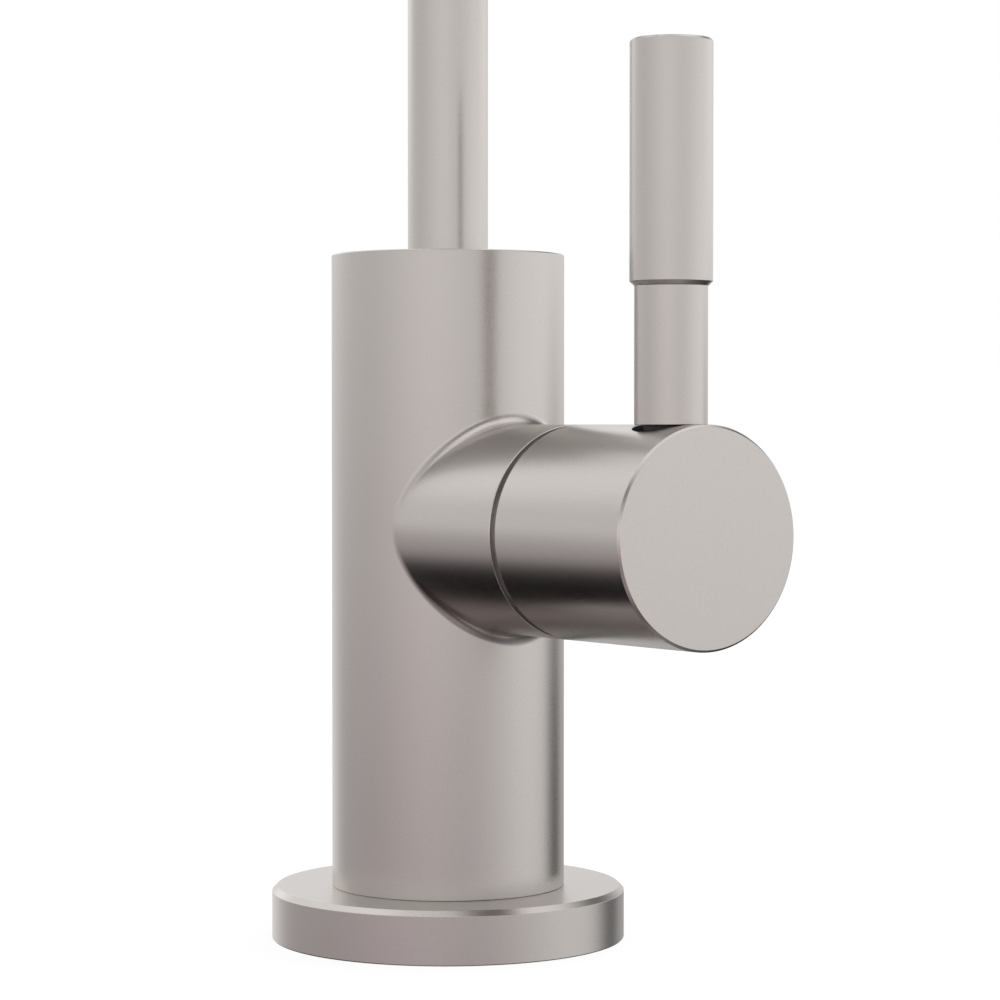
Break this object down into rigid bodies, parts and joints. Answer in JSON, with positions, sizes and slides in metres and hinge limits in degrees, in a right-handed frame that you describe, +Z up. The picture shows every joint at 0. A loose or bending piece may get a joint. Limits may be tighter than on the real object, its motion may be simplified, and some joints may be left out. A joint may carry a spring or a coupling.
{
  "type": "gooseneck bar faucet",
  "caption": "Single-hole bar faucet in satin nickel: a round column on a base ring, a swivelling gooseneck spout, and a side hub with an upright lever that turns forward to open the water.",
  "frame": {"origin": "centre of the base ring's underside, on the top face of the deck", "axes": "+Z up along the column; +X along the handle hub, on the user's right; -Y towards the user, the way the spout reaches"},
  "size_m": [0.0931, 0.1765, 0.3706],
  "materials": {
    "satin_nickel": "fine brushed satin nickel plate",
    "raw_brass": "turned brass, unplated",
    "plated_steel": "zinc-plated steel",
    "black_rubber": "matt moulded rubber",
    "dark_acetal": "smooth black acetal",
    "pale_nylon": "natural nylon",
    "ceramic": "lapped alumina"
  },
  "bodies": {
    "column": {"base_ring": "satin_nickel", "deck_gasket": "black_rubber", "body": "satin_nickel", "mounting_shank": "raw_brass", "rubber_washer": "black_rubber", "steel_washer": "plated_steel", "mounting_nut": "raw_brass", "port_seal": "black_rubber", "cartridge_base": "pale_nylon", "fixed_disc": "ceramic", "cartridge_barrel": "dark_acetal", "cartridge_nut": "raw_brass", "seam_ring": "dark_acetal", "glide_washer": "pale_nylon", "spout_collar": "satin_nickel"},
    "handle": {"moving_disc": "ceramic", "disc_driver": "dark_acetal", "valve_stem": "raw_brass", "stem_o_ring": "black_rubber", "handle_hub": "satin_nickel", "hub_set_screw": "plated_steel", "lever_rod": "satin_nickel", "lever_grip": "satin_nickel"},
    "spout": {"spout_foot": "raw_brass", "spout_o_rings": "black_rubber", "spout_tube": "satin_nickel", "outlet_ferrule": "satin_nickel", "aerator_washer": "black_rubber", "aerator_housing": "plated_steel", "flow_disc": "pale_nylon", "aerator_comb": "pale_nylon"}
  },
  "joints": [
    {"name": "handle_turn", "type": "hinge", "parent": "column", "child": "handle", "pos_m": [0.0355, 0, 0.0653], "axis": [1, 0, 0], "range_deg": [0, 90]},
    {"name": "spout_swivel", "type": "hinge", "parent": "column", "child": "spout", "pos_m": [0, 0, 0.1033], "axis": [0, 0, 1], "continuous": true}
  ]
}
